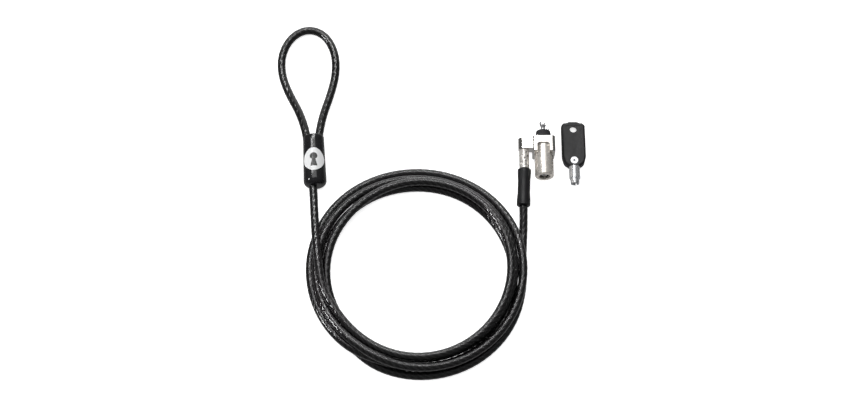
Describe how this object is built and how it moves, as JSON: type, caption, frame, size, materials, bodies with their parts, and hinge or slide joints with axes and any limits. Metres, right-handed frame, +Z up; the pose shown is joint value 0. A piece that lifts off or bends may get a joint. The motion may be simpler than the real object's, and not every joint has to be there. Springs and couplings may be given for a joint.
{
  "type": "laptop cable lock",
  "caption": "Laptop cable lock: keyed round lock head with a T-bar nose on a swivel collar, black steel-cored cable in a coil with a sleeved end loop, and its tubular key.",
  "frame": {"origin": "on the table, under the middle of the box round the lock head, its ferrule and the key", "axes": "+Z up; +Y the way the lock's nose points, which is away from the key end; +X to the right, from the cable towards the key"},
  "size_m": [0.1671, 0.2047, 0.0122],
  "materials": {
    "cable": "black vinyl over twisted steel rope, glossy",
    "sleeve": "black moulded plastic, glossy",
    "crimp": "plain",
    "badge": "light satin disc",
    "heat_shrink": "black satin",
    "ferrule": "nickel plate, handled",
    "steel": "turned",
    "collar": "satin nickel plate",
    "barrel": "polished nickel plate",
    "brass": "turned",
    "spring": "drawn wire",
    "rubber": "matte",
    "tbar": "hardened and ground",
    "bow": "fine moulded texture",
    "key_metal": "nickel plate"
  },
  "bodies": {
    "cable": {"cable_coil": "cable", "cable_lead": "cable", "cable_loop": "cable", "cable_end": "cable", "loop_sleeve": "sleeve", "loop_crimp": "crimp", "loop_badge": "badge", "strain_relief": "heat_shrink", "cable_ferrule": "ferrule", "swivel_stud": "steel"},
    "collar": {"swivel_collar": "collar", "arm_cap": "collar"},
    "lock_head": {"lock_barrel": "barrel", "pin_housing": "brass", "driver_pins": "steel", "pin_springs": "spring", "housing_dowel": "steel", "nose_dowel": "steel", "thrust_washer": "steel", "nose_block": "barrel", "rubber_pad": "rubber", "snap_ring": "spring"},
    "plug": {"plug": "brass", "spindle": "steel", "t_bar": "tbar"},
    "key": {"key_bow": "bow", "key_shank": "key_metal", "key_rivet": "key_metal"},
    "key_pin_1": {"key_pin_1": "steel"},
    "key_pin_2": {"key_pin_2": "steel"},
    "key_pin_3": {"key_pin_3": "steel"},
    "key_pin_4": {"key_pin_4": "steel"},
    "key_pin_5": {"key_pin_5": "steel"}
  },
  "joints": [
    {"name": "cable_swivel", "type": "hinge", "parent": "cable", "child": "collar", "pos_m": [-0.0155, 0, 0.0059], "axis": [0, 1, 0], "continuous": true},
    {"name": "barrel_swivel", "type": "hinge", "parent": "collar", "child": "lock_head", "pos_m": [-0.00495, 0, 0.0059], "axis": [0, 1, 0], "continuous": true},
    {"name": "plug_turn", "type": "hinge", "parent": "lock_head", "child": "plug", "pos_m": [-0.00495, 0, 0.0059], "axis": [0, 1, 0], "range_deg": [0, 90]},
    {"name": "key_lift", "type": "slide", "parent": "cable", "child": "key", "axis": [0, 0, 1], "range_m": [0, 0.04]},
    {"name": "pin_slide_1", "type": "slide", "parent": "plug", "child": "key_pin_1", "axis": [0, 1, 0], "range_m": [0, 0.0012], "stiffness_N_per_m": 60, "springref_m": -0.001},
    {"name": "pin_slide_2", "type": "slide", "parent": "plug", "child": "key_pin_2", "axis": [0, 1, 0], "range_m": [0, 0.0012], "stiffness_N_per_m": 60, "springref_m": -0.001},
    {"name": "pin_slide_3", "type": "slide", "parent": "plug", "child": "key_pin_3", "axis": [0, 1, 0], "range_m": [0, 0.0012], "stiffness_N_per_m": 60, "springref_m": -0.001},
    {"name": "pin_slide_4", "type": "slide", "parent": "plug", "child": "key_pin_4", "axis": [0, 1, 0], "range_m": [0, 0.0012], "stiffness_N_per_m": 60, "springref_m": -0.001},
    {"name": "pin_slide_5", "type": "slide", "parent": "plug", "child": "key_pin_5", "axis": [0, 1, 0], "range_m": [0, 0.0012], "stiffness_N_per_m": 60, "springref_m": -0.001}
  ]
}
